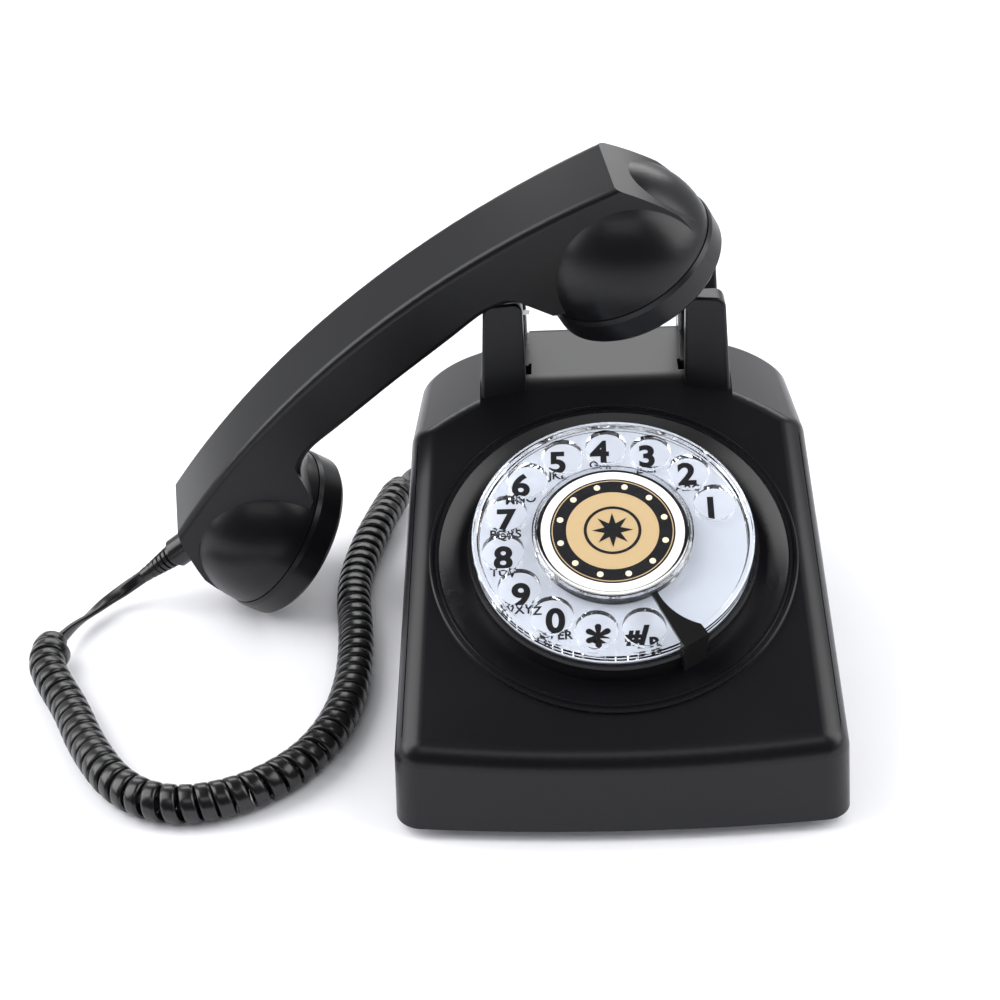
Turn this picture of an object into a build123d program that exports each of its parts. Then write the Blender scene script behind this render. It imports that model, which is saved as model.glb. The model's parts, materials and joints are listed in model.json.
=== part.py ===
from build123d import *
import math
import os

os.makedirs("parts", exist_ok=True)

# Rotary desk telephone. Millimetres, +Z up, origin on the table below the housing's middle,
# and the dial faces -Y.

# ---- driving sizes ----
housing_width = 141.0        # across the foot of the shell
housing_depth = 195.0
foot_height = 4.0
wall = 2.4
dial_tilt = 25.0             # slope of the dial face, degrees
dial_height = 61.9           # the dial's centre, at the ring's ridge
dial_y = -26.9
ridge_rise = 1.5             # ring ridge above the slope face
deck_height = 91.3
deck_rear = 86.0
ring_radius = 59.6
pedestal_radius = 46.9
plate_top = 4.4              # number plate's face above the ring ridge
wheel_radius = 45.1
wheel_low = 5.6              # underside of the finger wheel above the ring ridge
wheel_thick = 2.4
hole_count = 12
hole_radius = 6.8
hole_circle = 35.4
hole_pitch = 24.04           # degrees
hole_first = 19.5
cover_radius = 25.8
spacer_radius = 24.6
stop_angle = -60.0
prong_inner = 27.2
prong_outer = 43.4
prong_top = 122.0
prong_front = 32.0
prong_thick = 11.0
prong_gap = 34.0
prong_round = 3.4            # the prong's two top corners
prong_skew = 3.5             # how far a front prong's inner end stands back
prong_edge = 1.0
handset_half = 100.9         # half the length between the two creases of the back
handset_arc = 337.0          # radius of the back
handset_width = 26.9
cap_radius = 31.2
cap_height = 11.5
cap_place = 82.2
cap_drop = 58.5
cap_tilt = 10.7              # degrees
handset_place = (-86.6, 33.0, 118.2)
handset_turn = (-1.44, -38.24, 18.15)   # yaw, pitch, roll
coil_diameter = 12.6
lead_diameter = 5.0

half_width = housing_width / 2
half_depth = housing_depth / 2
tilt = math.radians(dial_tilt)
slope = math.tan(tilt)
dial_plane = Plane(
    origin=(0, dial_y, dial_height),
    x_dir=(1, 0, 0),
    z_dir=(0, -math.sin(tilt), math.cos(tilt)),
)
made = {}


def slope_z(y, below=0.0):
    """Height of the slope face at y, or of a face a little below it."""
    return dial_height + (y - dial_y) * slope - (ridge_rise + below) / math.cos(tilt)


def rod(radius, low, high, x=0.0, y=0.0):
    """Upright cylinder from one height to another."""
    return Pos(x, y, (low + high) / 2) * Cylinder(radius, high - low)


def block(x0, x1, y0, y1, z0, z1):
    """Box between two corners."""
    return Pos((x0 + x1) / 2, (y0 + y1) / 2, (z0 + z1) / 2) * Box(x1 - x0, y1 - y0, z1 - z0)


def turned(points):
    """Solid of revolution about Z from (radius, height) corners."""
    face = make_face(Plane.XZ * Polyline(*points, close=True))
    return revolve(face, Axis.Z)


def from_side(points, half, rounded=()):
    """Outline drawn in Y and Z, as wide as half on each side, with some corners rounded."""
    face = make_face(Plane.YZ * Polyline(*points, close=True))
    for (y, z), radius in rounded:
        corner = face.vertices().sort_by_distance((0, y, z))[0]
        face = fillet(corner, radius)
    return extrude(face, half, both=True)


def save(shape, node):
    """Keep one node and write it out."""
    solids = shape.solids()
    if len(solids) != 1:
        print("check", node, "has", len(solids), "solids")
    export_step(solids[0], f"parts/{node}.step")
    made[node] = solids[0]


# ---- housing ----
front_lean = 7.0             # degrees the front leans back
front_barrel = 620.0         # radius of the front's bow
side_draft = 2.0             # degrees
rear_corner = 20.0
front_round = 9.0
top_round = 7.0
crest_round = 18.0
crown_top = 95.4             # height of the crown's ridge line at crown_y
crown_y = 24.0
crown_radius = 146.0
crown_fall = 8.0             # degrees the crown falls towards the rear
deck_half = prong_outer
jack_half = 6.5
jack_low = 8.0
handset_jack_x = -36.0
line_jack_x = 30.0
plunger_x = 34.0
plunger_y = prong_front + prong_thick + 5.0


def plan_prism(inset):
    """Straight-sided footprint, drawn in a little towards the top."""
    side = half_width - inset
    front = -half_depth - 40
    rear = half_depth - inset
    corners = [(side, front), (side - 1, rear), (1 - side, rear), (-side, front)]
    face = make_face(Polyline(*corners, close=True))
    return extrude(Pos(0, 0, foot_height) * face, crown_top, taper=side_draft)


def side_prism(half, inset, rear, rounded):
    """Slope face and flat top, seen from the side."""
    top = deck_height - inset
    crest_y = (top - slope_z(0, inset)) / slope
    low_y = -half_depth - 60
    low_z = foot_height - 5
    points = [(low_y, low_z), (low_y, slope_z(low_y, inset)), (crest_y, top), (rear, top), (rear, low_z)]
    corners = [((crest_y, top), crest_round), ((rear, top), top_round)] if rounded else ()
    return from_side(points, half, corners)


def front_face(inset):
    """Wide barrel whose near side is the bowed, leaning front."""
    lean = math.radians(front_lean)
    radius = front_barrel - inset
    barrel = Rot(-front_lean, 0, 0) * Cylinder(radius, 500)
    middle_y = front_barrel * math.cos(lean) - half_depth
    middle_z = foot_height - front_barrel * math.sin(lean)
    return Pos(0, middle_y, middle_z) * barrel


def crown(inset):
    """Long barrel whose top is the crowned shoulders, falling to the rear."""
    fall = math.radians(crown_fall)
    barrel = Rot(90 - crown_fall, 0, 0) * Cylinder(crown_radius - inset, 500)
    return Pos(0, crown_y - crown_radius * math.sin(fall), crown_top - crown_radius * math.cos(fall)) * barrel


def round_edges(shape, radius, test):
    """Round every edge whose middle passes the test."""
    return fillet([edge for edge in shape.edges() if test(edge.position_at(0.5))], radius)


def shell_body(inset, rounded):
    """Shoulders and deck as one closed solid."""
    body = plan_prism(inset) & side_prism(120, inset, half_depth - inset, False)
    body = body & front_face(inset) & crown(inset)
    body = round_edges(body, rear_corner - inset, lambda m: m.Y > 90 and abs(m.X) > 60 and 10 < m.Z < 60)
    if not rounded:
        body = round_edges(body, front_round - inset, lambda m: m.Y < -80 and abs(m.X) > 60 and 8 < m.Z < 26)
    if rounded:
        body = round_edges(body, front_round, lambda m: m.Z > foot_height + 1 and m.Y < 0)
        body = round_edges(body, top_round, lambda m: m.Z > 60 and (abs(m.X) > 55 or m.Y > 80) and m.Y > 16)
    deck = side_prism(deck_half - inset, inset, deck_rear - inset, rounded)
    middle = block(inset - deck_half, deck_half - inset, 16, deck_rear - inset, 30, 120)
    return (body - middle) + (deck & middle)


def housing():
    shell = closed_shell - shell_body(wall, False)
    shell -= block(-62, 62, -84, 90, -5, foot_height + 5)
    shell -= dial_plane.location * rod(dish_inner, -12, 12)
    for x in (handset_jack_x, line_jack_x):
        jack_high = jack_low + 2 * jack_half
        shell -= block(x - jack_half, x + jack_half, half_depth - 9, half_depth + 5, jack_low, jack_high)
    for side in (-1, 1):
        x = side * plunger_x
        shell -= block(x - 8.4, x + 8.4, plunger_y - 4.4, plunger_y + 4.4, 60, 100)
    return shell


dish_inner = ring_radius - 2.2
closed_shell = shell_body(0, True)


def ear(side, y):
    """One upright prong of the cradle, standing on the deck."""
    inner = prong_inner
    front = [(inner, 60), (prong_outer + 1.2, 60), (prong_outer - 2.6, prong_top), (inner + 0.4, prong_top)]
    tall = make_face(Plane.XZ * Polyline(*front, close=True))
    tall = fillet(tall.vertices().filter_by_position(Axis.Z, prong_top - 1, prong_top + 1), prong_round)
    skew = prong_skew if y < deck_height / 2 else 0.0
    foot_plan = Polyline((inner - 2, y + skew), (prong_outer + 2, y), (prong_outer + 2, y + prong_thick),
                         (inner - 2, y + prong_thick), close=True)
    shape = extrude(tall, 200, both=True) & extrude(make_face(foot_plan), 200)
    shape = round_edges(shape, prong_edge, lambda m: m.Z > prong_top - 0.5)
    if side < 0:
        shape = mirror(shape, Plane.YZ)
    return shape - closed_shell


def base_plate():
    inner = shell_body(wall + 0.2, False) & block(-200, 200, -200, 200, foot_height - 1, foot_height + 1.6)
    plate = inner & block(-200, 200, -200, 200, foot_height, foot_height + 1.6)
    for x, y in foot_places:
        plate -= rod(2.6, 0, 10, x, y)
    return plate


foot_places = [(-56, -82), (56, -82), (-52, 82), (52, 82)]


def foot(x, y):
    """Rubber foot with the stub that holds it in the base plate."""
    pad = turned([(0, 0), (5.8, 0), (6.6, 0.8), (6.6, foot_height), (0, foot_height)])
    return Pos(x, y, 0) * (pad + rod(2.5, foot_height - 0.5, foot_height + 2.6))


# ---- dial, drawn about its own axis and then tilted ----
def dial_dish():
    """Ring with two ridges and a shallow hollow down to the pedestal."""
    outer, inner = ring_radius - 3.2, pedestal_radius + 0.1
    hollow = []
    for step in range(13):
        share = step / 12
        hollow.append((outer + (inner - outer) * share, -0.9 - 2.9 * math.sin(share * math.pi / 2)))
    ring = turned([
        (42.0, -6.5), (dish_inner - 0.1, -6.5), (dish_inner - 0.1, -ridge_rise), (ring_radius, -ridge_rise),
        (ring_radius, -0.5), (ring_radius - 0.5, 0), (ring_radius - 1.0, 0), (ring_radius - 1.6, -0.9),
        (ring_radius - 2.2, -0.4), (ring_radius - 2.8, -0.4), *hollow, (42.0, -3.8),
    ])
    return ring - finger_stop_solid(0.05)


def dial_pedestal():
    top = plate_top - 1.0
    shape = turned([
        (9, -3.7), (pedestal_radius, -3.7), (pedestal_radius, top - 0.4), (pedestal_radius - 0.6, top + 0.6),
        (pedestal_radius - 1.4, top + 0.6), (pedestal_radius - 1.8, top), (9, top),
    ])
    return shape - turned([(12, -5), (44, -5), (44, top - 2), (12, top - 2)])


def number_plate():
    outer = pedestal_radius - 2.0
    return turned([(9, plate_top - 0.95), (outer, plate_top - 0.95), (outer, plate_top), (9, plate_top)])


def hole_angles():
    return [math.radians(hole_first + hole_pitch * step) for step in range(hole_count)]


def finger_wheel():
    """Clear plate with twelve finger holes and a raised rim."""
    low, high = wheel_low, wheel_low + wheel_thick
    plate = turned([
        (4.2, low), (wheel_radius - 2.4, low),
        (wheel_radius - 2.0, low - 0.4), (wheel_radius - 0.4, low - 0.4),
        (wheel_radius, low), (wheel_radius, high + 0.6), (wheel_radius - 0.5, high + 1.2),
        (wheel_radius - 1.6, high + 1.2), (wheel_radius - 2.4, high), (4.2, high),
    ])
    for angle in hole_angles():
        plate -= rod(hole_radius, 0, 20, hole_circle * math.cos(angle), hole_circle * math.sin(angle))
    return plate


def dial_hub():
    high = wheel_low + wheel_thick
    return turned([(4.2, high), (24.2, high), (24.2, high + 1.4), (4.2, high + 1.4)])


def wheel_spacer():
    """Dark ring between the number plate and the finger wheel."""
    low, high = plate_top + 0.3, wheel_low - 0.05
    return turned([(7.4, low), (spacer_radius, low), (spacer_radius, high), (7.4, high)])


def dial_card():
    return rod(22.9, wheel_low + wheel_thick + 1.45, wheel_low + wheel_thick + 2.0)


def dial_cover():
    """Clear cap over the card."""
    low = wheel_low + wheel_thick
    inner = cover_radius - 1.4
    return turned([
        (0, low + 2.6), (inner, low + 2.6), (inner, low), (cover_radius, low),
        (cover_radius, low + 2.6), (cover_radius - 1.6, low + 4.2), (0, low + 4.2),
    ])


def dial_shaft():
    """Stepped spindle that carries the wheel above and the gear below."""
    shaft = rod(4.0, -16.0, wheel_low + wheel_thick + 1.4)
    return shaft + rod(7.0, wheel_low - 1.6, wheel_low - 0.05)


def gear_outline(teeth, module, narrow):
    """Involute spur gear outline; narrow is the angle taken off each flank for backlash."""
    pitch = teeth * module / 2
    base = pitch * math.cos(math.radians(20))
    tip = pitch + 0.9 * module
    root = pitch - 1.2 * module
    inv = math.tan(math.radians(20)) - math.radians(20)
    half_tooth = math.pi / (2 * teeth) + inv - narrow
    points = []
    for tooth in range(teeth):
        middle = 2 * math.pi * tooth / teeth
        flank = []
        for step in range(6):
            radius = max(base, root) + (tip - max(base, root)) * step / 5
            press = math.acos(min(1.0, base / radius))
            flank.append((radius, half_tooth - (math.tan(press) - press)))
        if root < base:
            flank.insert(0, (root, flank[0][1]))
        points += [(radius, middle - turn) for radius, turn in flank]
        points += [(radius, middle + turn) for radius, turn in reversed(flank)]
    return [(radius * math.cos(turn), radius * math.sin(turn)) for radius, turn in points]


gear_module = 0.8
main_teeth = 60
pinion_teeth = 18
gear_low = -13.5
gear_spread = (main_teeth + pinion_teeth) * gear_module / 2
governor_x = gear_spread


def spur(teeth, narrow, thick, phase):
    face = make_face(Polyline(*gear_outline(teeth, gear_module, narrow), close=True))
    return Rot(0, 0, phase) * extrude(face, thick)


def main_gear():
    gear = Pos(0, 0, gear_low) * spur(main_teeth, 0.004, 2.0, 0)
    return gear - rod(4.0, -20, 0)


def governor_pinion():
    """Small gear on its own spindle, half a tooth round so that it meshes."""
    half_tooth = 180 / pinion_teeth
    gear = Pos(governor_x, 0, gear_low) * spur(pinion_teeth, 0.012, 2.0, 180 + half_tooth)
    return gear + rod(1.5, -22.0, -7.2, governor_x, 0)


def governor_drum():
    """Brake disc with two centrifugal weights under the pinion."""
    disc = rod(9.0, -18.6, -17.2, governor_x, 0)
    for side in (-1, 1):
        disc += block(governor_x + side * 5 - 2, governor_x + side * 5 + 2, -4, 4, -17.3, -15.0)
    return disc - rod(1.5, -30, 0, governor_x, 0)


def dial_frame():
    """Mechanism plate under the pedestal with bearings for both spindles."""
    plate = rod(45.0, -8.6, -7.0) - rod(4.05, -20, 0) - rod(1.55, -20, 0, governor_x, 0)
    for angle in (60, 180, 300):
        turn = math.radians(angle)
        plate += rod(1.4, -7.1, -6.55, 43.5 * math.cos(turn), 43.5 * math.sin(turn))
    return plate + dial_yoke()


def dial_yoke():
    """Lower bridge that holds the far end of the governor spindle."""
    bridge = block(governor_x - 6, governor_x + 6, -14, 14, -22.4, -20.8)
    for side in (-1, 1):
        bridge += block(governor_x - 6, governor_x + 2, side * 13 - 1, side * 13 + 1, -22.4, -8)
    return bridge - rod(1.55, -30, 0, governor_x, 0)


def finger_stop_solid(grow):
    """Bracket standing beside the wheel, with a claw that reaches over it."""
    wheel_top = wheel_low + wheel_thick + 1.2
    low, high = wheel_top + 0.7, wheel_top + 2.1
    near = wheel_radius + 0.6
    far = pedestal_radius + 1.5
    claw = make_face(Curve() + [
        Polyline((far + grow, -4.3), (far + grow, 4.3)),
        Line((far + grow, 4.3), (44.0, 4.3)),
        ThreePointArc((44.0, 4.3), (37.0, 0.2), (cover_radius + 1.0, -0.6)),
        Line((cover_radius + 1.0, -0.6), (cover_radius + 0.8, -2.6)),
        Polyline((cover_radius + 0.8, -2.6), (45.5, -4.3), (far + grow, -4.3)),
    ])
    claw = Pos(0, 0, low) * extrude(claw, high - low)
    leg = block(near, far, -4.3 - grow, 4.3 + grow, plate_top + 0.1, high)
    skirt = block(pedestal_radius + 0.05 - grow, far + grow, -4.3 - grow, 4.3 + grow, -5.5 - grow, high)
    return Rot(0, 0, stop_angle) * (claw + leg + skirt)


def finger_stop():
    return finger_stop_solid(0)


# ---- hook switch ----
def plunger(side):
    """Clear push piece standing between two prongs, wider than the prongs and arched on top."""
    inner, outer = 25.4, 40.6
    high = prong_top - 9.0
    stem = [(inner + 2.0, 78), (outer, 78), (outer, high), (inner, high)]
    face = make_face(Plane.XZ * Polyline(*stem, close=True))
    body = Pos(0, plunger_y + 2.0, 0) * extrude(face, 4.0)
    arch = Rot(90, 0, 0) * (Cylinder(4.2, 4.0) - Cylinder(3.0, 6.0))
    body += Pos(35.5, plunger_y, high) * (arch & block(-6, 6, -6, 6, -0.3, 6))
    return body if side > 0 else mirror(body, Plane.YZ)


def plunger_bar():
    """Cross bar under the deck that both plungers stand on."""
    bar = block(-41, 41, plunger_y - 3, plunger_y + 3, 74.0, 77.9)
    return bar + rod(2.4, 50, 74.5, 0, plunger_y)


def hook_spring():
    """Spring sleeve under the cross bar."""
    return rod(4.2, 58.1, 73.9, 0, plunger_y) - rod(2.9, 50, 80, 0, plunger_y)


def hook_tower():
    """Post inside the shell that guides the cross bar's pin and carries spring and switch."""
    post = block(-9, 9, plunger_y - 6, plunger_y + 6, foot_height + 1.7, 58.0)
    post += block(8, 30, plunger_y - 2, plunger_y + 6, 50, 56)
    return post - rod(2.6, 30, 70, 0, plunger_y)


lever_y = plunger_y + 18.0
lever_z = 72.9


def cross_pin(radius, x0, x1):
    """Pin along X at the switch lever's pivot."""
    return Pos((x0 + x1) / 2, lever_y, lever_z) * Rot(0, 90, 0) * Cylinder(radius, x1 - x0)


def hook_switch():
    """Snap switch on the post's arm, with two cheeks for the lever's pin."""
    body = block(17, 27, plunger_y, lever_y + 4, 56.1, 66)
    for x in (17, 24.6):
        body += block(x, x + 2.4, lever_y - 3, lever_y + 3, 65, 75)
    return body - cross_pin(0.85, 16, 28)


def switch_lever():
    """Leaf whose tip lies under the cross bar's rear edge."""
    leaf = block(20, 24, plunger_y + 2.0, lever_y + 0.5, lever_z - 0.3, lever_z + 0.3)
    return leaf + cross_pin(0.8, 17.2, 26.8)


# ---- inside the shell ----
def ballast():
    return block(-34, 34, -84, -62, foot_height + 1.7, foot_height + 9.7)


def circuit_board():
    board = block(-30, 34, -54, -6, 12.0, 13.6)
    for x in (-26, 30):
        for y in (-50, -10):
            board += rod(2.2, foot_height + 1.7, 12.1, x, y)
    return board


gong_x = 27.5
gong_y = 61.0
gong_top = 30.0
clapper_y = 82.0
clapper_ball = 4.0


def ringer_frame():
    low = foot_height + 1.7
    frame = block(-gong_x - 10, gong_x + 10, gong_y - 5, gong_y + 5, low, low + 2)
    frame += block(-9, 9, gong_y + 4, gong_y + 8, low, low + 2)
    return frame + block(-9, 9, gong_y + 5, gong_y + 8, low, 22)


def ringer_coil():
    return Pos(0, gong_y - 1, 14.5) * Rot(0, 90, 0) * Cylinder(5.5, 17)


def gong(side):
    """Shallow bell on its own post."""
    cup = turned([
        (2.0, 0), (15, -1.5), (17.5, -5), (18.5, -11),
        (17.5, -11), (16.4, -5.5), (14.2, -2.6), (2.0, -1.1),
    ])
    post = rod(2.0, foot_height + 3.7 - gong_top, 0.5)
    return Pos(side * gong_x, gong_y, gong_top) * (cup + post)


def clapper():
    """Striker between the bells on an upright pin."""
    arm = block(-1.0, 1.0, gong_y, clapper_y, 24.2, 26.0)
    ball = Pos(0, gong_y, 25.1) * Sphere(clapper_ball)
    return arm + ball + rod(1.5, 14.0, 28.0, 0, clapper_y)


def clapper_post():
    post = block(-5, 5, clapper_y - 5, clapper_y + 5, foot_height + 1.7, 23.0)
    return post - rod(1.56, 0, 40, 0, clapper_y)


def jack(x):
    """Modular socket let into the rear wall."""
    rear = half_depth - 0.8
    body = block(x - jack_half + 0.1, x + jack_half - 0.1, rear - 16, rear, jack_low + 0.1, jack_low + 12.9)
    mouth = block(x - 4.0, x + 4.0, rear - 11, rear + 1, jack_low + 2.6, jack_low + 10.2)
    return body - mouth


# ---- handset, drawn lying with its back up and then leaned ----
def handset_location():
    yaw, pitch, roll = handset_turn
    return Pos(*handset_place) * Rot(0, 0, yaw) * Rot(0, pitch, 0) * Rot(roll, 0, 0)


def cap_frame(side):
    """Plane on a cup's seam, its Z pointing back into the cup."""
    lean = math.radians(cap_tilt)
    seam_x = cap_place + cap_height * math.sin(lean)
    seam_z = -cap_drop + cap_height * math.cos(lean)
    return Plane(
        origin=(side * seam_x, 0, seam_z),
        x_dir=(side * math.cos(lean), 0, -math.sin(lean)),
        z_dir=(side * math.sin(lean), 0, math.cos(lean)),
    )


cup_radius = cap_radius - 0.8
cup_rise = 32.0
facet_rise = 43.5            # dome that trims the handle's ends
facet_bow = 1.6              # how far an end facet bows out
trim_gap = 0.3               # the handle stops this far inside a cup's rim
neck_x = 52.5                # where the grip's underside turns down to a cup
splay = 0.073                # how much the sides spread per millimetre downwards
ridge_round = 2.4


def dome(side, rise, radius):
    """Rounded solid standing on a cup's seam."""
    quarter = [math.pi / 2 * step / 12 for step in range(13)]
    line = [(radius * math.cos(turn), rise * math.sin(turn)) for turn in quarter]
    outline = Curve() + [
        Line((0, 0), (radius, 0)),
        Spline(*line, tangents=[(0, 1), (-1, 0)]),
        Line((0, rise), (0, 0)),
    ]
    face = make_face(Plane.XZ * outline)
    return cap_frame(side).location * revolve(face, Axis.Z)


def handle_outline():
    """Handle from the side: curved back, bowed end facets, neck and slightly arched grip."""
    drop = handset_arc - math.sqrt(handset_arc ** 2 - handset_half ** 2)
    lean = math.radians(cap_tilt)
    seam = cap_frame(1).origin
    crease = (handset_half, -drop)
    reach = cup_radius - 0.8
    end = (seam.X + reach * math.cos(lean), seam.Z - reach * math.sin(lean))
    bow = ((crease[0] + end[0]) / 2 + facet_bow, (crease[1] + end[1]) / 2 + facet_bow * 0.35)
    inner = (seam.X - 20, seam.Z + 20 * math.tan(lean))   # well inside the cup
    neck = [(neck_x + 3.5, -38.5), (neck_x, -29.5)]
    grip = [(neck_x - 7.5, -23.4), (neck_x - 22, -21.9), (0, -21.6)]
    left = [(-x, z) for x, z in (crease, bow, end, inner, *neck)]
    arch = neck[1:] + grip + [(-x, z) for x, z in reversed(neck[1:] + grip[:2])]
    return Curve() + [
        ThreePointArc(left[0], (0, 0), crease),
        ThreePointArc(crease, bow, end),
        Polyline(end, inner, *neck),
        Spline(*arch),
        Polyline(left[5], left[4], left[3], left[2]),
        ThreePointArc(left[2], left[1], left[0]),
    ]


def handle_solid():
    """Handle with slightly splayed sides; its ends are trimmed to a dome over each cup."""
    side_view = extrude(make_face(Plane.XZ * handle_outline()), 60, both=True)
    half = handset_width / 2
    above, below = 5, -80
    wide, narrow = half - below * splay, half - above * splay
    section = [(-narrow, above), (-wide, below), (wide, below), (narrow, above)]
    bar = side_view & extrude(make_face(Plane.YZ * Polyline(*section, close=True)), 200, both=True)
    bar = round_edges(bar, ridge_round, lambda m: abs(m.X) < 1 and abs(m.Y) > 10)
    limit = block(-cap_place, cap_place, -60, 60, -120, 20)
    for side in (-1, 1):
        limit += dome(side, facet_rise, cup_radius - trim_gap)
    return bar & limit


def handset_shell():
    shell = handle_solid() + dome(1, cup_rise, cup_radius) + dome(-1, cup_rise, cup_radius)
    for side in (-1, 1):
        frame = cap_frame(side)
        shell -= frame.location * rod(cup_radius - 3.5, -5, 9)
        shell -= frame.location * block(-80, 80, -80, 80, -60, 0)
    shell -= handset_relief_bore()
    return shell


def cap_solid(side):
    """Screw cap with a rounded rim and a dished grille face."""
    height = cap_height
    inner = cup_radius - 3.7
    shape = turned([
        (0, -height + 2.6), (18, -height + 2.2), (26.5, -height + 0.2), (28.5, -height),
        (29.8, -height + 0.2),
        (cap_radius, -height + 1.8), (cap_radius, -2.0), (cap_radius - 0.5, -0.3), (inner + 1.6, -0.3),
        (inner, -0.1), (inner, 2.6), (inner - 1.8, 2.6), (inner - 1.8, -height + 5.4), (0, -height + 5.4),
    ])
    for ring, count in ((0, 1), (7.0, 6), (13.5, 12)):
        for step in range(count):
            turn = 2 * math.pi * step / count
            shape -= rod(1.1, -20, 0, ring * math.cos(turn), ring * math.sin(turn))
    return cap_frame(side).location * shape


def capsule(side):
    """Receiver or microphone insert behind the cap."""
    return cap_frame(side).location * rod(22.0, -cap_height + 5.5, 3.5)


relief_start = (-107.0, -31.4)
relief_end = (-134.0, -30.0)


def relief_frame():
    """Plane at the relief's root, its Z pointing out along the lead."""
    run = Vector(relief_end[0] - relief_start[0], 0, relief_end[1] - relief_start[1])
    return Plane(origin=(relief_start[0], 0, relief_start[1]), x_dir=(0, 1, 0), z_dir=run.normalized())


def handset_relief_bore():
    return relief_frame().location * rod(5.75, -2.1, 30)


def strain_relief():
    """Collar and a row of shrinking ribs round the lead."""
    shape = rod(5.65, -2.0, 10.6)
    for step in range(7):
        radius = 4.4 - 0.28 * step
        shape += rod(radius, 11.3 + 2.2 * step, 12.5 + 2.2 * step)
    shape += rod(3.4, 10.0, 13.0)
    shape += Pos(0, 0, (10.5 + relief_length) / 2) * Cone(3.4, 2.6, relief_length - 10.5)
    return relief_frame().location * shape


relief_length = math.hypot(relief_end[0] - relief_start[0], relief_end[1] - relief_start[1])


# ---- cord ----
def corner_radii(points):
    """Largest tangent arc each corner's runs allow."""
    radii = []
    for before, here, after in zip(points, points[1:], points[2:]):
        one = Vector(*here) - Vector(*before)
        two = Vector(*after) - Vector(*here)
        half_turn = math.radians(one.get_angle(two)) / 2
        radii.append(0.45 * min(one.length, two.length) / math.tan(half_turn))
    return radii


def tube(points, diameter, name):
    radii = corner_radii(points)
    path = FilletPolyline(*points, radius=radii)
    start = Plane(origin=path @ 0, z_dir=path % 0)
    solid = sweep(start * Circle(diameter / 2), path=path)
    section = math.pi * diameter ** 2 / 4
    print(name, "radii", [round(r) for r in radii], "length", round(path.length, 1),
          "volume ratio", round(solid.volume / (section * path.length), 4))
    return solid


lead_points = [
    (-174.2, 44.5, 12.7),
    (-181.4, 44.6, 7.4),
    (-188.4, 39.4, 5.0),
    (-193.6, 30.0, 4.4),
    (-197.4, 19.5, 6.4),
    (-199.6, 8.2, 6.4),
]
coil_points = [
    (-199.6, 8.0, 6.4),
    (-201.8, -3.2, 6.4),
    (-194.8, -15.5, 6.4),
    (-185.3, -31.0, 6.4),
    (-175.2, -52.0, 6.4),
    (-160.0, -74.5, 6.4),
    (-142.5, -84.0, 6.4),
    (-122.0, -80.5, 6.4),
    (-104.5, -67.0, 6.4),
    (-94.5, -48.5, 6.4),
    (-89.8, -24.0, 6.4),
    (-91.0, 8.0, 6.4),
    (-95.8, 40.0, 6.4),
    (-93.5, 70.0, 6.4),
    (-88.0, 98.0, 6.4),
    (-82.5, 119.0, 6.4),
]
tail_points = [
    (-82.5, 119.2, 6.4),
    (-79.6, 130.3, 6.4),
    (-71.0, 139.5, 4.4),
    (-58.5, 142.5, 3.6),
    (-46.5, 138.5, 5.2),
    (-38.8, 129.5, 9.6),
    (-36.0, 118.5, 14.3),
    (-36.0, 106.2, 14.3),
]


def cord_plug():
    """Modular plug in the rear socket."""
    x = handset_jack_x
    rear = half_depth - 0.8
    return block(x - 3.7, x + 3.7, rear - 10.5, rear + 9.5, jack_low + 3.0, jack_low + 9.6)


# ---- build every node ----
def build_shell():
    save(housing(), "housing")
    rear_y = prong_front + prong_thick + prong_gap
    save(ear(-1, prong_front), "ear_front_left")
    save(ear(1, prong_front), "ear_front_right")
    save(ear(-1, rear_y), "ear_rear_left")
    save(ear(1, rear_y), "ear_rear_right")
    save(base_plate(), "base_plate")
    names = ["foot_front_left", "foot_front_right", "foot_rear_left", "foot_rear_right"]
    for (x, y), name in zip(foot_places, names):
        save(foot(x, y), name)


def build_dial():
    parts = {
        "dial_dish": dial_dish, "dial_pedestal": dial_pedestal, "number_plate": number_plate,
        "finger_stop": finger_stop, "dial_frame": dial_frame, "finger_wheel": finger_wheel,
        "dial_hub": dial_hub, "wheel_spacer": wheel_spacer, "dial_card": dial_card,
        "dial_cover": dial_cover, "dial_shaft": dial_shaft,
        "main_gear": main_gear, "governor_pinion": governor_pinion, "governor_drum": governor_drum,
    }
    for name, make in parts.items():
        save(dial_plane.location * make(), name)


def build_inside():
    save(plunger(-1), "plunger_left")
    save(plunger(1), "plunger_right")
    parts = {
        "plunger_bar": plunger_bar, "hook_spring": hook_spring, "hook_tower": hook_tower,
        "hook_switch": hook_switch, "switch_lever": switch_lever, "ballast": ballast,
        "circuit_board": circuit_board, "ringer_frame": ringer_frame, "ringer_coil": ringer_coil,
        "clapper": clapper, "clapper_post": clapper_post,
    }
    for name, make in parts.items():
        save(make(), name)
    save(gong(-1), "gong_left")
    save(gong(1), "gong_right")
    save(jack(handset_jack_x), "handset_jack")
    save(jack(line_jack_x), "line_jack")


def build_handset():
    place = handset_location()
    parts = {
        "handset_shell": handset_shell(), "receiver_cap": cap_solid(1), "transmitter_cap": cap_solid(-1),
        "receiver_unit": capsule(1), "microphone_unit": capsule(-1), "strain_relief": strain_relief(),
    }
    for name, shape in parts.items():
        save(place * shape, name)


def build_cord():
    save(tube(lead_points, lead_diameter, "cord_lead"), "cord_lead")
    save(tube(coil_points, coil_diameter, "cord_coil"), "cord_coil")
    save(tube(tail_points, lead_diameter, "cord_tail"), "cord_tail")
    save(cord_plug(), "cord_plug")


build_shell()
build_dial()
build_inside()
build_handset()
build_cord()
print("nodes", len(made))
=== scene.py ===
import json
import math
import bpy
import bmesh
from mathutils import Euler, Matrix, Vector

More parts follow.
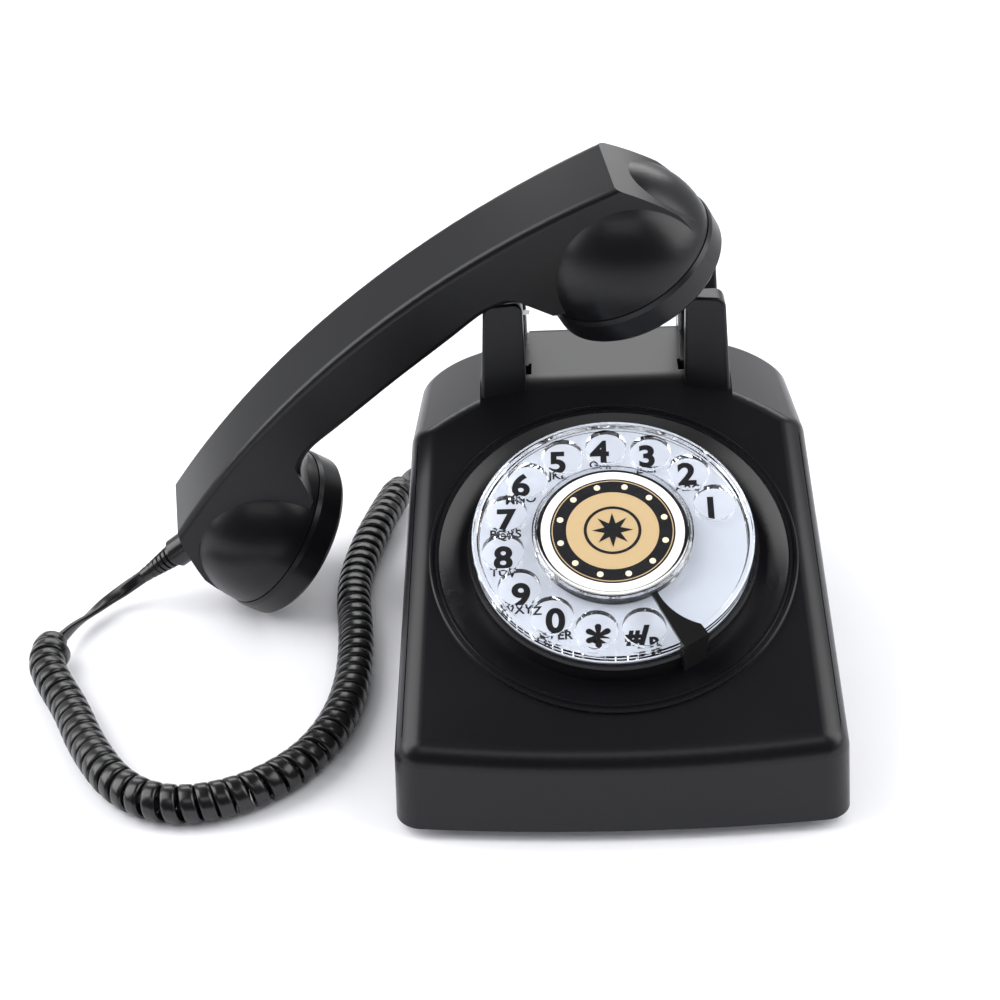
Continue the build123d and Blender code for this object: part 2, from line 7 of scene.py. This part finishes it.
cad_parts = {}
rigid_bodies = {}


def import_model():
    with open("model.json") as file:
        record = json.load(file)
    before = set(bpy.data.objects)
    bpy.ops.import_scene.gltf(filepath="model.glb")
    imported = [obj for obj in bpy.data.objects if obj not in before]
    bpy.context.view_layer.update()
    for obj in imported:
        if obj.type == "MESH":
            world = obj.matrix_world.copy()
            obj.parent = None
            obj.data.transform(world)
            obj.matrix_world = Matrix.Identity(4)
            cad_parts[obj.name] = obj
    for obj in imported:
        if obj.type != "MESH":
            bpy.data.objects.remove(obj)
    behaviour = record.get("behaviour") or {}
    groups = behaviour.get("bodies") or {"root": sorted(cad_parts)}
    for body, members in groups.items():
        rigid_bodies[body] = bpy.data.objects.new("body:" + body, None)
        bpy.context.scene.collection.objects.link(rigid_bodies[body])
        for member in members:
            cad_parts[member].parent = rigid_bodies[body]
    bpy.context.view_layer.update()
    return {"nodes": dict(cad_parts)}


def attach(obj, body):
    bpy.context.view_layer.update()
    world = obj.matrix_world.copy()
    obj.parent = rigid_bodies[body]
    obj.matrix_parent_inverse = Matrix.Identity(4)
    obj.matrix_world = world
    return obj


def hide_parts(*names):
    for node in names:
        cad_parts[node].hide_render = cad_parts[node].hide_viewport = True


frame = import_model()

nodes = frame["nodes"]
print("stage: frame loaded,", len(nodes), "nodes")


def clearSelection():
    if bpy.context.object and bpy.context.object.mode != "OBJECT":
        bpy.ops.object.mode_set(mode="OBJECT")
    for each in bpy.context.view_layer.objects:
        each.select_set(False)
    bpy.context.view_layer.objects.active = None


def pickOnly(piece):
    clearSelection()
    piece.select_set(True)
    bpy.context.view_layer.objects.active = piece


def bakePlace(piece):
    pickOnly(piece)
    bpy.ops.object.transform_apply(location=True, rotation=True, scale=True)


cameraSetup = {
    "place": (-0.0107, -0.5248, 0.3649),
    "azimuth": 2.852,
    "elevation": 29.633,
    "roll": -3.19,
    "lens": 64.8,
    "sensor": 36,
    "nearest": 0.01,
}


def addCamera(setup):
    turn, rise, roll = (math.radians(setup[key]) for key in ("azimuth", "elevation", "roll"))
    back = Vector((math.sin(turn) * math.cos(rise), -math.cos(turn) * math.cos(rise), math.sin(rise)))
    level = Vector((math.cos(turn), math.sin(turn), 0))
    above = back.cross(level)
    right = level * math.cos(roll) + above * math.sin(roll)
    up = above * math.cos(roll) - level * math.sin(roll)
    clearSelection()
    bpy.ops.object.camera_add(location=setup["place"])
    camera = bpy.context.object
    camera.rotation_euler = Matrix((right, up, back)).transposed().to_euler()
    camera.data.lens = setup["lens"]
    camera.data.sensor_width = setup["sensor"]
    camera.data.clip_start = setup["nearest"]
    bpy.context.scene.camera = camera


addCamera(cameraSetup)

lightSetup = {
    "skyStrength": 0.56,
    "skyColour": (0.97, 0.98, 1.0, 1),
    "darkColour": (0.02, 0.02, 0.025, 1),   # the dark room in front of the table and above it
    "darkFront": (0.05, -0.45),             # how far towards the front the dark starts and is full
    "darkAbove": (0.62, 0.93),
    # name, place, aimed at, size, watts
    "lamps": [
        ("lampLeft", (-0.95, 0.00, 0.80), (-0.05, 0, 0.03), (0.9, 1.3), 16),
        ("lampRight", (0.98, -0.05, 0.80), (0.0, 0, 0.03), (0.9, 1.3), 14),
        ("lampBack", (0.0, 1.25, 0.85), (0, 0.1, 0.06), (1.5, 0.5), 8),
        ("lampFloor", (0.0, -1.1, 1.5), (0, -0.1, 0.0), (1.4, 0.5), 4),
    ],
}


def addSky(setup):
    world = bpy.context.scene.world or bpy.data.worlds.new("studioWorld")
    bpy.context.scene.world = world
    world.use_nodes = True
    tree = world.node_tree
    sky = tree.nodes["Background"]
    sky.inputs["Strength"].default_value = setup["skyStrength"]
    coords = tree.nodes.new("ShaderNodeTexCoord")
    parts = tree.nodes.new("ShaderNodeSeparateXYZ")
    front = tree.nodes.new("ShaderNodeMapRange")
    front.inputs["From Min"].default_value, front.inputs["From Max"].default_value = setup["darkFront"]
    above = tree.nodes.new("ShaderNodeMapRange")
    above.inputs["From Min"].default_value, above.inputs["From Max"].default_value = setup["darkAbove"]
    darker = tree.nodes.new("ShaderNodeMath")
    darker.operation = "MAXIMUM"
    mix = tree.nodes.new("ShaderNodeMix")
    mix.data_type = "RGBA"
    mix.inputs["A"].default_value = setup["skyColour"]
    mix.inputs["B"].default_value = setup["darkColour"]
    tree.links.new(coords.outputs["Generated"], parts.inputs["Vector"])
    tree.links.new(parts.outputs["Y"], front.inputs["Value"])
    tree.links.new(parts.outputs["Z"], above.inputs["Value"])
    tree.links.new(front.outputs["Result"], darker.inputs[0])
    tree.links.new(above.outputs["Result"], darker.inputs[1])
    # only reflections see the dark parts, so the table is lit from all round
    seenBy = tree.nodes.new("ShaderNodeLightPath")
    mirrored = tree.nodes.new("ShaderNodeMath")
    mirrored.operation = "MULTIPLY"
    tree.links.new(darker.outputs["Value"], mirrored.inputs[0])
    tree.links.new(seenBy.outputs["Is Glossy Ray"], mirrored.inputs[1])
    tree.links.new(mirrored.outputs["Value"], mix.inputs["Factor"])
    tree.links.new(mix.outputs["Result"], sky.inputs["Color"])


def addLights(setup):
    addSky(setup)
    for name, place, aim, size, watts in setup["lamps"]:
        bpy.ops.object.light_add(type="AREA", location=place)
        lamp = bpy.context.object
        lamp.name = name
        lamp.rotation_euler = (Vector(place) - Vector(aim)).to_track_quat("Z", "Y").to_euler()
        lamp.data.shape = "RECTANGLE"
        lamp.data.size, lamp.data.size_y = size
        lamp.data.energy = watts
    bpy.context.scene.view_settings.view_transform = "Standard"


addLights(lightSetup)
print("stage: camera and light")

# control points of the cord from the mouthpiece to the jack, in metres
cordRoute = [
    (-0.1741, 0.0445, 0.0128),
    (-0.1814, 0.0446, 0.0076),
    (-0.1884, 0.0394, 0.0052),
    (-0.1936, 0.0300, 0.0046),
    (-0.1974, 0.0195, 0.0062),
    (-0.1996, 0.0081, 0.0076),
    (-0.2012, -0.0032, 0.0076),
    (-0.1948, -0.0155, 0.0068),
    (-0.1853, -0.0310, 0.0066),
    (-0.1752, -0.0520, 0.0066),
    (-0.1600, -0.0745, 0.0066),
    (-0.1425, -0.0840, 0.0066),
    (-0.1220, -0.0805, 0.0066),
    (-0.1045, -0.0670, 0.0066),
    (-0.0945, -0.0485, 0.0066),
    (-0.0898, -0.0240, 0.0066),
    (-0.0910, 0.0080, 0.0066),
    (-0.0958, 0.0400, 0.0066),
    (-0.0935, 0.0700, 0.0066),
    (-0.0880, 0.0980, 0.0066),
    (-0.0825, 0.1190, 0.0066),
    (-0.0796, 0.1303, 0.0060),
    (-0.0710, 0.1395, 0.0044),
    (-0.0585, 0.1425, 0.0036),
    (-0.0465, 0.1385, 0.0052),
    (-0.0388, 0.1295, 0.0096),
    (-0.0360, 0.1185, 0.0143),
    (-0.0360, 0.1062, 0.0143),
]
cordSetup = {
    "bandWidth": 0.0048,
    "bandThick": 0.0021,
    "coilOuter": 0.0063,      # outer radius of the coil
    "coilStart": 0.049,       # how far along the route the coil begins
    "coilEnd": 0.083,         # how far before its end the coil stops
    "pitch": 0.0055,
    "stepsPerTurn": 26,
    "looseFirst": 0.0012,     # the first turn is that much larger
    "leadTwists": 0.5,
    "leadStep": 0.0011,       # distance between sections of the flat lead
    "swellIn": 0.006,         # lengths over which the coil opens out and closes again
    "swellOut": 0.008,
    "looseAt": 0.005,         # where the loose turn lies in the coil, and how long it is
    "looseSpread": 0.004,
    # uneven pitch: share, turns of the wave per metre, start
    "wander": [(0.07, 95, 0.0), (0.05, 233, 1.0)],
    # section of the band, as shares of its half width and half thickness
    "profile": [
        (-1.0, -0.35), (-1.0, 0.35), (-0.82, 0.86), (-0.45, 1.0), (0.45, 1.0), (0.82, 0.86),
        (1.0, 0.35), (1.0, -0.35), (0.82, -0.86), (0.45, -1.0), (-0.45, -1.0), (-0.82, -0.86),
    ],
}


def routeLine(points):
    curve = bpy.data.curves.new("cordRoute", "CURVE")
    curve.dimensions = "3D"
    spline = curve.splines.new("NURBS")
    spline.points.add(len(points) - 1)
    for knot, point in zip(spline.points, points):
        knot.co = (*point, 1)
    spline.order_u = 3
    spline.use_endpoint_u = True
    spline.resolution_u = 24
    helper = bpy.data.objects.new("cordRoute", curve)
    bpy.context.scene.collection.objects.link(helper)
    bpy.context.view_layer.update()
    line = bpy.data.meshes.new_from_object(helper.evaluated_get(bpy.context.evaluated_depsgraph_get()))
    found = [vertex.co.copy() for vertex in line.vertices]
    bpy.data.objects.remove(helper)
    return found


def walkLine(line):
    travelled = [0.0]
    for before, here in zip(line, line[1:]):
        travelled.append(travelled[-1] + (here - before).length)
    side = [Vector((0, 0, 1)).cross(line[1] - line[0]).normalized()]
    for index in range(1, len(line)):
        along = (line[min(index + 1, len(line) - 1)] - line[index - 1]).normalized()
        side.append((side[-1] - along * side[-1].dot(along)).normalized())
    return travelled, side


def atDistance(line, travelled, side, distance, index):
    while index < len(travelled) - 2 and travelled[index + 1] < distance:
        index += 1
    share = (distance - travelled[index]) / max(1e-9, travelled[index + 1] - travelled[index])
    place = line[index].lerp(line[index + 1], share)
    along = (line[index + 1] - line[index]).normalized()
    across = side[index].lerp(side[index + 1], share)
    across = (across - along * across.dot(along)).normalized()
    return place, along, across, index


def easeIn(value):
    value = min(1.0, max(0.0, value))
    return value * value * (3 - 2 * value)


def windCoil(setup, line):
    travelled, side = walkLine(line)
    total = travelled[-1]
    coilStop = total - setup["coilEnd"]
    radius = setup["coilOuter"] - setup["bandThick"] / 2
    turnStep = 2 * math.pi / setup["stepsPerTurn"]
    centres, radials = [], []
    distance, turn, index = 0.0, 0.0, 0
    while distance < total:
        place, along, across, index = atDistance(line, travelled, side, distance, index)
        up = along.cross(across)
        inside = distance - setup["coilStart"]
        swell = easeIn(inside / setup["swellIn"]) * easeIn((coilStop - distance) / setup["swellOut"])
        loose = setup["looseFirst"] * math.exp(-((inside - setup["looseAt"]) / setup["looseSpread"]) ** 2)
        radial = across * math.cos(turn) + up * math.sin(turn)
        centres.append(place + radial * swell * (radius + loose))
        radials.append(radial)
        uneven = 1 + sum(share * math.sin(distance * rate + start) for share, rate, start in setup["wander"])
        if setup["coilStart"] < distance < coilStop:
            turn += turnStep
            distance += setup["pitch"] * uneven / setup["stepsPerTurn"]
        else:
            distance += setup["leadStep"]
            turn += 2 * math.pi * setup["leadTwists"] * setup["leadStep"] / setup["coilStart"]
    return centres, radials, total


def bandMesh(setup, centres, radials):
    halfWide, halfThick = setup["bandWidth"] / 2, setup["bandThick"] / 2
    profile = setup["profile"]
    shape = bmesh.new()
    rings = []
    for index, centre in enumerate(centres):
        after = centres[min(index + 1, len(centres) - 1)]
        along = (after - centres[max(index - 1, 0)]).normalized()
        thick = (radials[index] - along * radials[index].dot(along)).normalized() * halfThick
        wide = along.cross(thick).normalized() * halfWide
        rings.append([shape.verts.new(centre + wide * a + thick * b) for a, b in profile])
    for before, here in zip(rings, rings[1:]):
        for corner in range(len(profile)):
            following = (corner + 1) % len(profile)
            shape.faces.new((before[corner], before[following], here[following], here[corner]))
    shape.faces.new(rings[0])
    shape.faces.new(list(reversed(rings[-1])))
    bmesh.ops.recalc_face_normals(shape, faces=shape.faces)
    mesh = bpy.data.meshes.new("handsetCord")
    shape.to_mesh(mesh)
    shape.free()
    for face in mesh.polygons:
        face.use_smooth = True
    return mesh


def addCord(setup):
    centres, radials, total = windCoil(setup, routeLine(cordRoute))
    cord = bpy.data.objects.new("handsetCord", bandMesh(setup, centres, radials))
    bpy.context.scene.collection.objects.link(cord)
    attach(cord, "base")
    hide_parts("cord_lead", "cord_coil", "cord_tail")
    return cord


cord = addCord(cordSetup)


def newGroup(name, inputs, outputs):
    group = bpy.data.node_groups.new(name, "ShaderNodeTree")
    for label, kind, value in inputs:
        socket = group.interface.new_socket(label, in_out="INPUT", socket_type=kind)
        socket.default_value = value
    for label, kind in outputs:
        group.interface.new_socket(label, in_out="OUTPUT", socket_type=kind)
    return group, group.nodes.new("NodeGroupInput"), group.nodes.new("NodeGroupOutput")


def buildMouldedSkin():
    group, given, result = newGroup(
        "mouldedSkin",
        [
            ("Base", "NodeSocketColor", (0.01, 0.01, 0.01, 1)),
            ("Tone", "NodeSocketColor", (0.02, 0.02, 0.02, 1)),
            ("Grain Scale", "NodeSocketFloat", 900.0),
            ("Roughness", "NodeSocketFloat", 0.35),
            ("Roughness Spread", "NodeSocketFloat", 0.08),
            ("Dust", "NodeSocketFloat", 0.02),
        ],
        [("Color", "NodeSocketColor"), ("Roughness", "NodeSocketFloat"), ("Height", "NodeSocketFloat")],
    )
    make, link = group.nodes.new, group.links.new
    coords = make("ShaderNodeTexCoord")
    cloud = make("ShaderNodeTexNoise")
    cloud.inputs["Scale"].default_value = 22
    cloud.inputs["Detail"].default_value = 4
    grain = make("ShaderNodeTexNoise")
    grain.inputs["Detail"].default_value = 2
    speck = make("ShaderNodeTexVoronoi")
    speck.inputs["Scale"].default_value = 240
    link(coords.outputs["Object"], cloud.inputs["Vector"])
    link(coords.outputs["Object"], grain.inputs["Vector"])
    link(coords.outputs["Object"], speck.inputs["Vector"])
    link(given.outputs["Grain Scale"], grain.inputs["Scale"])
    # base colour drifts a little towards the tone
    drift = make("ShaderNodeMix")
    drift.data_type = "RGBA"
    link(cloud.outputs["Fac"], drift.inputs["Factor"])
    link(given.outputs["Base"], drift.inputs["A"])
    link(given.outputs["Tone"], drift.inputs["B"])
    # a few light specks of dust
    speckMask = make("ShaderNodeMapRange")
    speckMask.inputs["From Min"].default_value = 0.10
    speckMask.inputs["From Max"].default_value = 0.04
    link(speck.outputs["Distance"], speckMask.inputs["Value"])
    dustAmount = make("ShaderNodeMath")
    dustAmount.operation = "MULTIPLY"
    link(speckMask.outputs["Result"], dustAmount.inputs[0])
    link(given.outputs["Dust"], dustAmount.inputs[1])
    dusty = make("ShaderNodeMix")
    dusty.data_type = "RGBA"
    dusty.inputs["B"].default_value = (0.35, 0.34, 0.33, 1)
    link(dustAmount.outputs["Value"], dusty.inputs["Factor"])
    link(drift.outputs["Result"], dusty.inputs["A"])
    # roughness
    rough = make("ShaderNodeMath")
    rough.operation = "MULTIPLY_ADD"
    centred = make("ShaderNodeMath")
    centred.operation = "SUBTRACT"
    centred.inputs[1].default_value = 0.5
    link(cloud.outputs["Fac"], centred.inputs[0])
    link(centred.outputs["Value"], rough.inputs[0])
    link(given.outputs["Roughness Spread"], rough.inputs[1])
    link(given.outputs["Roughness"], rough.inputs[2])
    link(dusty.outputs["Result"], result.inputs["Color"])
    link(rough.outputs["Value"], result.inputs["Roughness"])
    link(grain.outputs["Fac"], result.inputs["Height"])
    return group


skinGroup = buildMouldedSkin()


def skinMaterial(name, look):
    material = bpy.data.materials.new(name)
    material.use_nodes = True
    tree = material.node_tree
    shader = tree.nodes["Principled BSDF"]
    skin = tree.nodes.new("ShaderNodeGroup")
    skin.node_tree = skinGroup
    skin.inputs["Base"].default_value = (*look["base"], 1)
    skin.inputs["Tone"].default_value = (*look["tone"], 1)
    skin.inputs["Grain Scale"].default_value = look.get("grain", 900)
    skin.inputs["Roughness"].default_value = look["rough"]
    skin.inputs["Roughness Spread"].default_value = look.get("spread", 0.08)
    skin.inputs["Dust"].default_value = look.get("dust", 0.0)
    bump = tree.nodes.new("ShaderNodeBump")
    bump.inputs["Strength"].default_value = look.get("bump", 0.05)
    bump.inputs["Distance"].default_value = look.get("bumpDepth", 0.0002)
    tree.links.new(skin.outputs["Color"], shader.inputs["Base Color"])
    tree.links.new(skin.outputs["Roughness"], shader.inputs["Roughness"])
    tree.links.new(skin.outputs["Height"], bump.inputs["Height"])
    tree.links.new(bump.outputs["Normal"], shader.inputs["Normal"])
    shader.inputs["Metallic"].default_value = look.get("metal", 0.0)
    shader.inputs["Specular IOR Level"].default_value = look.get("shine", 0.5)
    shader.inputs["Coat Weight"].default_value = look.get("coat", 0.0)
    shader.inputs["Coat Roughness"].default_value = look.get("coatRough", 0.1)
    return material


def clearMaterial(name, tint, rough):
    look = {"base": tint, "tone": tint, "rough": rough, "spread": 0.02, "bump": 0.01}
    material = skinMaterial(name, look)
    tree = material.node_tree
    shader = tree.nodes["Principled BSDF"]
    shader.inputs["Transmission Weight"].default_value = 1.0
    shader.inputs["IOR"].default_value = 1.45
    # light passes straight through for shadows
    output = tree.nodes["Material Output"]
    see = tree.nodes.new("ShaderNodeBsdfTransparent")
    path = tree.nodes.new("ShaderNodeLightPath")
    mix = tree.nodes.new("ShaderNodeMixShader")
    tree.links.new(path.outputs["Is Shadow Ray"], mix.inputs["Fac"])
    tree.links.new(shader.outputs["BSDF"], mix.inputs[1])
    tree.links.new(see.outputs["BSDF"], mix.inputs[2])
    tree.links.new(mix.outputs["Shader"], output.inputs["Surface"])
    return material


finishes = {
    "satinBlack": {
        "base": (0.0040, 0.0040, 0.0052), "tone": (0.0058, 0.0058, 0.0074), "rough": 0.31,
        "spread": 0.05, "shine": 0.31, "grain": 1500, "bump": 0.06, "bumpDepth": 0.00008,
        "dust": 0.0,
    },
    "dialBlack": {
        "base": (0.0035, 0.0035, 0.0046), "tone": (0.0052, 0.0052, 0.0066), "rough": 0.28,
        "spread": 0.06, "shine": 0.36, "grain": 1500, "bump": 0.04, "bumpDepth": 0.00006,
    },
    "stopBlack": {
        "base": (0.008, 0.008, 0.008), "tone": (0.012, 0.012, 0.012), "rough": 0.16,
        "spread": 0.05, "grain": 1200, "bump": 0.02, "bumpDepth": 0.00005,
    },
    "plateWhite": {
        "base": (0.50, 0.53, 0.60), "tone": (0.52, 0.55, 0.62), "rough": 0.38, "grain": 1200,
        "bump": 0.03, "bumpDepth": 0.00005,
    },
    "cardWhite": {
        "base": (0.92, 0.91, 0.90), "tone": (0.95, 0.94, 0.93), "rough": 0.45, "grain": 900,
        "bump": 0.05, "bumpDepth": 0.00005,
    },
    "inkBlack": {
        "base": (0.006, 0.006, 0.008), "tone": (0.009, 0.009, 0.011), "rough": 0.5, "grain": 900,
        "bump": 0.02, "shine": 0.2,
    },
    "inkGold": {
        "base": (0.62, 0.44, 0.23), "tone": (0.78, 0.59, 0.34), "rough": 0.34, "grain": 900,
        "bump": 0.02, "metal": 0.35,
    },
    "inkCream": {
        "base": (0.86, 0.74, 0.52), "tone": (0.90, 0.79, 0.58), "rough": 0.5, "grain": 900,
        "bump": 0.02,
    },
    "footRubber": {
        "base": (0.010, 0.010, 0.010), "tone": (0.022, 0.021, 0.020), "rough": 0.72, "grain": 700,
        "bump": 0.2, "bumpDepth": 0.0002, "dust": 0.10,
    },
    "cordVinyl": {
        "base": (0.0055, 0.0055, 0.006), "tone": (0.009, 0.009, 0.0095), "rough": 0.27,
        "spread": 0.10, "grain": 1100, "bump": 0.06, "bumpDepth": 0.00008,
    },
    "zincSheet": {
        "base": (0.52, 0.53, 0.54), "tone": (0.62, 0.62, 0.60), "rough": 0.36, "spread": 0.2,
        "grain": 500, "bump": 0.08, "metal": 1.0,
    },
    "dullBrass": {
        "base": (0.60, 0.44, 0.20), "tone": (0.72, 0.55, 0.28), "rough": 0.34, "spread": 0.2,
        "grain": 600, "bump": 0.06, "metal": 1.0,
    },
    "bellMetal": {
        "base": (0.60, 0.58, 0.54), "tone": (0.70, 0.67, 0.60), "rough": 0.22, "spread": 0.14,
        "grain": 500, "bump": 0.04, "metal": 1.0,
    },
    "boardGreen": {
        "base": (0.03, 0.13, 0.05), "tone": (0.04, 0.17, 0.07), "rough": 0.4, "grain": 400,
        "bump": 0.08,
    },
    "windingRed": {
        "base": (0.26, 0.07, 0.03), "tone": (0.36, 0.11, 0.05), "rough": 0.35, "grain": 1800,
        "bump": 0.4,
    },
    "whiteNylon": {
        "base": (0.60, 0.58, 0.51), "tone": (0.68, 0.66, 0.58), "rough": 0.5, "grain": 600,
        "bump": 0.08,
    },
    "jackBlack": {
        "base": (0.012, 0.012, 0.012), "tone": (0.02, 0.02, 0.02), "rough": 0.45, "grain": 700,
        "bump": 0.1,
    },
    "smokyPlug": {
        "base": (0.42, 0.42, 0.40), "tone": (0.52, 0.52, 0.50), "rough": 0.2, "grain": 700,
        "bump": 0.03, "coat": 0.5,
    },
}
paint = {name: skinMaterial(name, look) for name, look in finishes.items()}
paint["clearAcrylic"] = clearMaterial("clearAcrylic", (0.985, 0.992, 1.0), 0.02)

finishOf = {
    "satinBlack": ["housing", "ear_front_left", "ear_front_right", "ear_rear_left", "ear_rear_right",
                   "handset_shell", "receiver_cap", "transmitter_cap"],
    "dialBlack": ["dial_dish", "dial_pedestal", "dial_hub", "wheel_spacer"],
    "stopBlack": ["finger_stop"],
    "plateWhite": ["number_plate"],
    "cardWhite": ["dial_card"],
    "footRubber": ["foot_front_left", "foot_front_right", "foot_rear_left", "foot_rear_right"],
    "cordVinyl": ["strain_relief"],
    "zincSheet": ["base_plate", "ballast", "ringer_frame", "hook_tower", "hook_spring", "dial_frame",
                  "dial_shaft", "clapper_post", "clapper"],
    "dullBrass": ["main_gear", "governor_pinion", "governor_drum"],
    "bellMetal": ["gong_left", "gong_right"],
    "boardGreen": ["circuit_board"],
    "windingRed": ["ringer_coil"],
    "whiteNylon": ["plunger_bar", "hook_switch", "switch_lever", "receiver_unit", "microphone_unit"],
    "jackBlack": ["handset_jack", "line_jack"],
    "smokyPlug": ["cord_plug"],
    "clearAcrylic": ["finger_wheel", "dial_cover", "plunger_left", "plunger_right"],
}


def applyPaint(piece, name):
    piece.data.materials.clear()
    piece.data.materials.append(paint[name])


for finish, names in finishOf.items():
    for name in names:
        applyPaint(nodes[name], finish)
applyPaint(cord, "cordVinyl")
print("stage: materials")

floorSetup = {
    "size": 24.0,
    "below": 0.0001,          # gap under the feet
    "look": {"base": (0.84, 0.84, 0.87), "tone": (0.87, 0.87, 0.90), "rough": 0.7, "grain": 60, "bump": 0.0},
}
clearSelection()
bpy.ops.mesh.primitive_plane_add(size=floorSetup["size"], location=(0, 0, -floorSetup["below"]))
floor = bpy.context.object
floor.name = "studioFloor"
paint["floorPaper"] = skinMaterial("floorPaper", floorSetup["look"])
applyPaint(floor, "floorPaper")

dialPlace = {"centre": (0.0, -0.0269, 0.0619), "tilt": 25.0}
dialTurn = Euler((math.radians(dialPlace["tilt"]), 0, 0)).to_matrix().to_4x4()
dialMatrix = Matrix.Translation(dialPlace["centre"]) @ dialTurn

numberSetup = {
    "plateFace": 0.0044,
    "digitSize": 0.0120,
    "digitBold": 0.00042,
    "letterSize": 0.0043,
    "letterBold": 0.00009,
    "letterDrop": 0.0056,
    "inkLift": 0.00004,
    # the last places are made of several signs: sign, right, up, share of size, share of boldness
    "starSigns": [("*", 0.0, -0.0030, 1.45, 1.0)],
    "hashSigns": [
        ("#", -0.0032, 0.0004, 0.62, 1.0),
        ("/", 0.0, 0.0, 1.0, 1.0),
        ("R", 0.0034, -0.0018, 0.5, 0.6),
    ],
    # what stands in each place, and millimetres right and up from the dial's centre
    "places": [
        ("1", "", 32.2, 11.2), ("2", "ABC", 25.3, 25.2), ("3", "DEF", 12.6, 33.0), ("4", "GHI", -3.0, 35.4),
        ("5", "JKL", -17.1, 31.5), ("6", "MNO", -29.4, 22.6), ("7", "PQRS", -34.4, 8.8),
        ("8", "TUV", -35.2, -5.8), ("9", "WXYZ", -29.6, -20.0), ("0", "OPER", -18.9, -29.7),
        ("*", "", -5.7, -35.7), ("#/R", "", 8.2, -36.8),
    ],
}


def addText(words, u, v, w, size, bold):
    clearSelection()
    bpy.ops.object.text_add()
    text = bpy.context.object
    text.data.body = words
    text.data.align_x = "CENTER"
    text.data.align_y = "CENTER"
    text.data.size = size
    text.data.offset = bold
    text.data.extrude = 0.00003
    text.data.resolution_u = 6
    pickOnly(text)
    bpy.ops.object.convert(target="MESH")
    text = bpy.context.object
    text.data.transform(dialMatrix @ Matrix.Translation((u, v, w)))
    return text


def joinAs(name, pieces):
    clearSelection()
    for piece in pieces:
        piece.select_set(True)
    bpy.context.view_layer.objects.active = pieces[0]
    bpy.ops.object.join()
    pieces[0].name = name
    pieces[0].data.name = name
    return pieces[0]


def printNumbers(setup):
    digits, letters = [], []
    lift = setup["plateFace"] + setup["inkLift"]
    signsOf = {"*": setup["starSigns"], "#/R": setup["hashSigns"]}
    for digit, small, right, up in setup["places"]:
        u, v = right / 1000, up / 1000
        for sign, across, rise, scale, weight in signsOf.get(digit, [(digit, 0.0, 0.0, 1.0, 1.0)]):
            size, bold = setup["digitSize"] * scale, setup["digitBold"] * weight
            digits.append(addText(sign, u + across, v + rise, lift, size, bold))
        if small:
            low = v - setup["letterDrop"]
            letters.append(addText(small, u, low, lift, setup["letterSize"], setup["letterBold"]))
    for name, group in (("dialNumbers", digits), ("dialLetters", letters)):
        piece = joinAs(name, group)
        applyPaint(piece, "inkBlack")
        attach(piece, "base")


printNumbers(numberSetup)
print("stage: dial numbers")

cardSetup = {
    "face": 0.0100,           # top of the card above the ring ridge
    "layer": 0.00003,         # each print lies that much above the one under it
    "rings": [  # name, inner and outer radius, sides, paint
        ("cardDarkRing", 0.0148, 0.0200, 96, "inkBlack"),
        ("cardGoldDisc", 0.0, 0.0148, 96, "inkGold"),
        ("cardFineRing", 0.0191, 0.0194, 96, "inkGold"),
        ("cardInnerRing", 0.0082, 0.0092, 72, "inkBlack"),
    ],
    "star": (8, 0.0066, 0.0028),
    "dots": (12, 0.0172, 0.00105),
}


def flatRing(name, inner, outer, sides, lift, thick=0.00004):
    clearSelection()
    bpy.ops.mesh.primitive_cylinder_add(vertices=sides, radius=outer, depth=thick, location=(0, 0, lift))
    ring = bpy.context.object
    ring.name = name
    bakePlace(ring)
    if inner > 0:
        bpy.ops.object.mode_set(mode="EDIT")
        bpy.ops.mesh.select_all(action="DESELECT")
        mesh = bmesh.from_edit_mesh(ring.data)
        for face in mesh.faces:
            face.select = abs(face.normal.z) > 0.9
        bmesh.update_edit_mesh(ring.data)
        bpy.ops.mesh.inset(thickness=outer - inner, use_even_offset=True)
        bpy.ops.mesh.bridge_edge_loops()
        bpy.ops.object.mode_set(mode="OBJECT")
    return ring


def placeOnDial(piece):
    piece.data.transform(dialMatrix)
    piece.data.update()


def addCardPrint(setup):
    layer = setup["layer"]
    lift = setup["face"] + layer
    for step, (name, inner, outer, sides, finish) in enumerate(setup["rings"]):
        ring = flatRing(name, inner, outer, sides, lift + layer * step)
        placeOnDial(ring)
        applyPaint(ring, finish)
        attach(ring, "dial")
    points, outer, inner = setup["star"]
    star = flatRing("cardStar", 0, outer, points * 2, lift + layer * 4)
    for vertex in star.data.vertices:
        turn = round(math.degrees(math.atan2(vertex.co.y, vertex.co.x)) / (180 / points))
        if turn % 2:
            vertex.co.x *= inner / outer
            vertex.co.y *= inner / outer
    placeOnDial(star)
    applyPaint(star, "inkBlack")
    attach(star, "dial")
    count, ringRadius, dotRadius = setup["dots"]
    dots = []
    for step in range(count):
        turn = 2 * math.pi * (step + 0.5) / count
        dot = flatRing("cardDot", 0, dotRadius, 20, lift + layer * 5)
        place = (ringRadius * math.cos(turn), ringRadius * math.sin(turn), 0)
        dot.data.transform(Matrix.Translation(place))
        dots.append(dot)
    dots = joinAs("cardDots", dots)
    placeOnDial(dots)
    applyPaint(dots, "inkCream")
    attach(dots, "dial")


addCardPrint(cardSetup)
print("stage: card")
